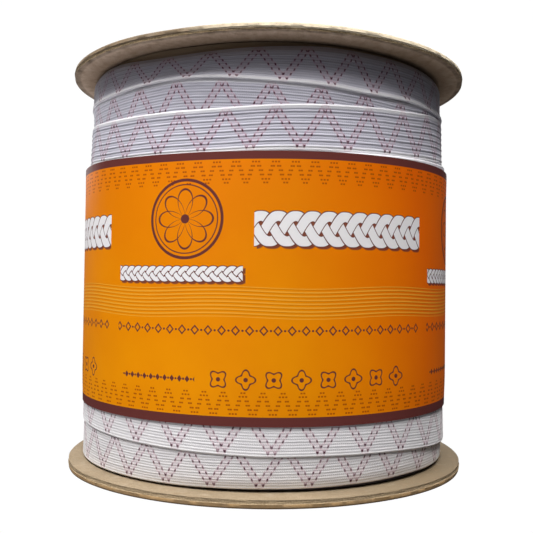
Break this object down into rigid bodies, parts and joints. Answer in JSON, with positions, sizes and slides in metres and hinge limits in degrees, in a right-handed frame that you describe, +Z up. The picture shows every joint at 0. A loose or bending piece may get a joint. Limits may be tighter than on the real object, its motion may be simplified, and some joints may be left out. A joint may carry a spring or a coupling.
{
  "type": "roll of elastic on a cardboard reel",
  "caption": "Shop roll of flat white braided elastic with zigzag tracer threads, wound on an upright cardboard reel with a printed orange paper band.",
  "frame": {"origin": "middle of the reel's underside, on the surface that it stands on", "axes": "+Z up along the spindle bore, -Y towards the front where the band reads, +X to the viewer's right"},
  "size_m": [0.134, 0.134, 0.1303],
  "materials": {
    "greyboard": "matte grey-brown board",
    "elastic": "flat ribbed braid, white with red and purple tracer threads",
    "paper": "smooth printed paper, orange with brown borders"
  },
  "bodies": {
    "root": {"reel_base": "greyboard", "reel_top": "greyboard", "elastic_winding": "elastic", "label_band": "paper"}
  },
  "joints": []
}
